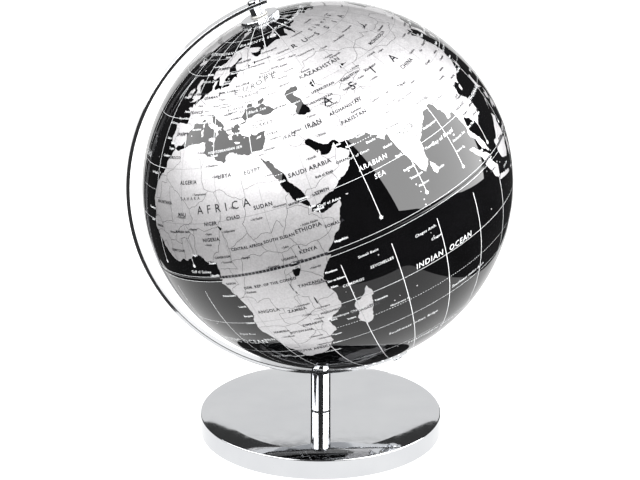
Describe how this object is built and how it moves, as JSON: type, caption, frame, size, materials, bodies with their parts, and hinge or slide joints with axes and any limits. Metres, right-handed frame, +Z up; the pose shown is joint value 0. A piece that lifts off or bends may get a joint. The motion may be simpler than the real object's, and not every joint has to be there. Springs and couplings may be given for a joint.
{
  "type": "desk globe",
  "caption": "Black and silver world map ball spinning on a tilted axis in a chrome half-ring arm, on a round weighted chrome base.",
  "frame": {"origin": "centre of the base's underside, on the table", "axes": "+Z up; the arm lies in the XZ plane and the north pole leans towards -X, so +Y is the side away from the usual front view"},
  "size_m": [0.2606, 0.2514, 0.3086],
  "materials": {
    "chrome": "bright polished chrome plate",
    "plated_steel": "zinc plated, dull",
    "cast_weight": "rough cast, black",
    "felt_pad": "black felt",
    "black_nylon": "moulded, matt",
    "map_shell": "gloss black sea with silver land under a clear coat",
    "ring_plastic": "moulded, matt",
    "white_nylon": "moulded nylon"
  },
  "bodies": {
    "stand": {"base_shell": "chrome", "base_weight": "cast_weight", "base_pad": "felt_pad", "base_bolt": "plated_steel", "base_lock_washer": "plated_steel", "base_flat_washer": "plated_steel", "post_washer": "black_nylon", "post": "chrome", "arm": "chrome", "arm_screw": "chrome", "north_pivot_pin": "chrome", "north_pivot_nut": "chrome", "north_thrust_washer": "white_nylon", "south_pivot_pin": "chrome", "south_pivot_nut": "chrome", "south_thrust_washer": "white_nylon"},
    "globe": {"north_hemisphere": "map_shell", "south_hemisphere": "map_shell", "joining_ring": "ring_plastic", "north_pole_cap": "chrome", "south_pole_cap": "chrome", "north_bush": "white_nylon", "south_bush": "white_nylon"}
  },
  "joints": [
    {"name": "globe_spin", "type": "hinge", "parent": "stand", "child": "globe", "pos_m": [0.0048, 0, 0.179], "axis": [-0.3584, 0, 0.9336], "continuous": true}
  ]
}
